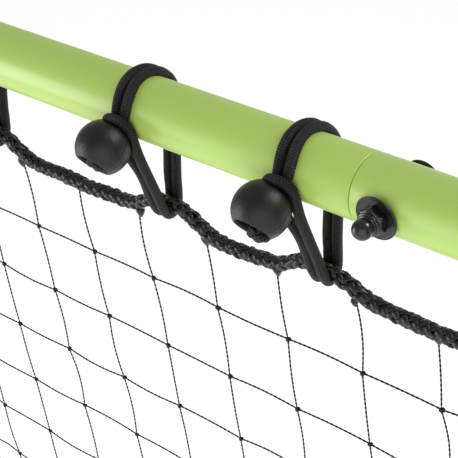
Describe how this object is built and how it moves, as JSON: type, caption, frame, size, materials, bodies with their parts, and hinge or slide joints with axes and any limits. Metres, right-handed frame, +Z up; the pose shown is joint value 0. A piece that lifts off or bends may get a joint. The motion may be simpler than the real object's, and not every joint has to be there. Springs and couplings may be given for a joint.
{
  "type": "rebound net",
  "caption": "Square rebound net hung by elastic ball ties in a bolted round-tube frame that leans on a folding tube support.",
  "frame": {"origin": "on the ground, under the middle of the object's box", "axes": "+Z up; +X along the top rail; the net's hitting side faces +Y and the folding support stands on the -Y side"},
  "size_m": [1.1518, 0.4764, 0.9948],
  "materials": {
    "tube_paint": "gloss lime green powder coat on steel tube",
    "bolt": "black coated steel",
    "washer": "black saddle washer with a dished face",
    "cap_nut": "glossy black domed cap nut",
    "rope": "loose glossy black braid",
    "net_twine": "thin twisted black twine",
    "ball_tie": "fine-grained black moulded ball on black braided elastic cord",
    "hinge_hub": "black moulded plastic",
    "knob": "black moulded plastic",
    "foot": "black soft plastic"
  },
  "bodies": {
    "frame": {"frame_tube_upper_left": "tube_paint", "frame_tube_upper_right": "tube_paint", "frame_tube_lower_right": "tube_paint", "frame_tube_lower_left": "tube_paint", "joint_bolt_top": "bolt", "joint_bolt_right": "bolt", "joint_bolt_bottom": "bolt", "joint_bolt_left": "bolt", "joint_washer_top": "washer", "joint_washer_right": "washer", "joint_washer_bottom": "washer", "joint_washer_left": "washer", "joint_nut_top": "cap_nut", "joint_nut_right": "cap_nut", "joint_nut_bottom": "cap_nut", "joint_nut_left": "cap_nut", "net": "net_twine", "border_rope": "rope", "ball_tie_top_1": "ball_tie", "ball_tie_top_2": "ball_tie", "ball_tie_top_3": "ball_tie", "ball_tie_top_4": "ball_tie", "ball_tie_top_5": "ball_tie", "ball_tie_top_6": "ball_tie", "ball_tie_right_1": "ball_tie", "ball_tie_right_2": "ball_tie", "ball_tie_right_3": "ball_tie", "ball_tie_right_4": "ball_tie", "ball_tie_right_5": "ball_tie", "ball_tie_right_6": "ball_tie", "ball_tie_bottom_1": "ball_tie", "ball_tie_bottom_2": "ball_tie", "ball_tie_bottom_3": "ball_tie", "ball_tie_bottom_4": "ball_tie", "ball_tie_bottom_5": "ball_tie", "ball_tie_bottom_6": "ball_tie", "ball_tie_left_1": "ball_tie", "ball_tie_left_2": "ball_tie", "ball_tie_left_3": "ball_tie", "ball_tie_left_4": "ball_tie", "ball_tie_left_5": "ball_tie", "ball_tie_left_6": "ball_tie", "ball_tie_corner_upper_left": "ball_tie", "ball_tie_corner_upper_right": "ball_tie", "ball_tie_corner_lower_right": "ball_tie", "ball_tie_corner_lower_left": "ball_tie", "hinge_hub_left": "hinge_hub", "hinge_hub_right": "hinge_hub", "pivot_bolt_left": "bolt", "pivot_bolt_right": "bolt", "foot_front_left": "foot", "foot_front_right": "foot"},
    "support": {"support_tube": "tube_paint", "support_hub_left": "hinge_hub", "support_hub_right": "hinge_hub", "foot_rear_left": "foot", "foot_rear_right": "foot"},
    "knob_left": {"hinge_knob_left": "knob"},
    "knob_right": {"hinge_knob_right": "knob"}
  },
  "joints": [
    {"name": "support_fold", "type": "hinge", "parent": "frame", "child": "support", "pos_m": [0, 0.09608, 0.60651], "axis": [1, 0, 0], "range_deg": [-30, 39]},
    {"name": "knob_left_turn", "type": "hinge", "parent": "frame", "child": "knob_left", "pos_m": [-0.5529, 0.09608, 0.60651], "axis": [1, 0, 0], "continuous": true},
    {"name": "knob_right_turn", "type": "hinge", "parent": "frame", "child": "knob_right", "pos_m": [0.5529, 0.09608, 0.60651], "axis": [1, 0, 0], "continuous": true}
  ]
}
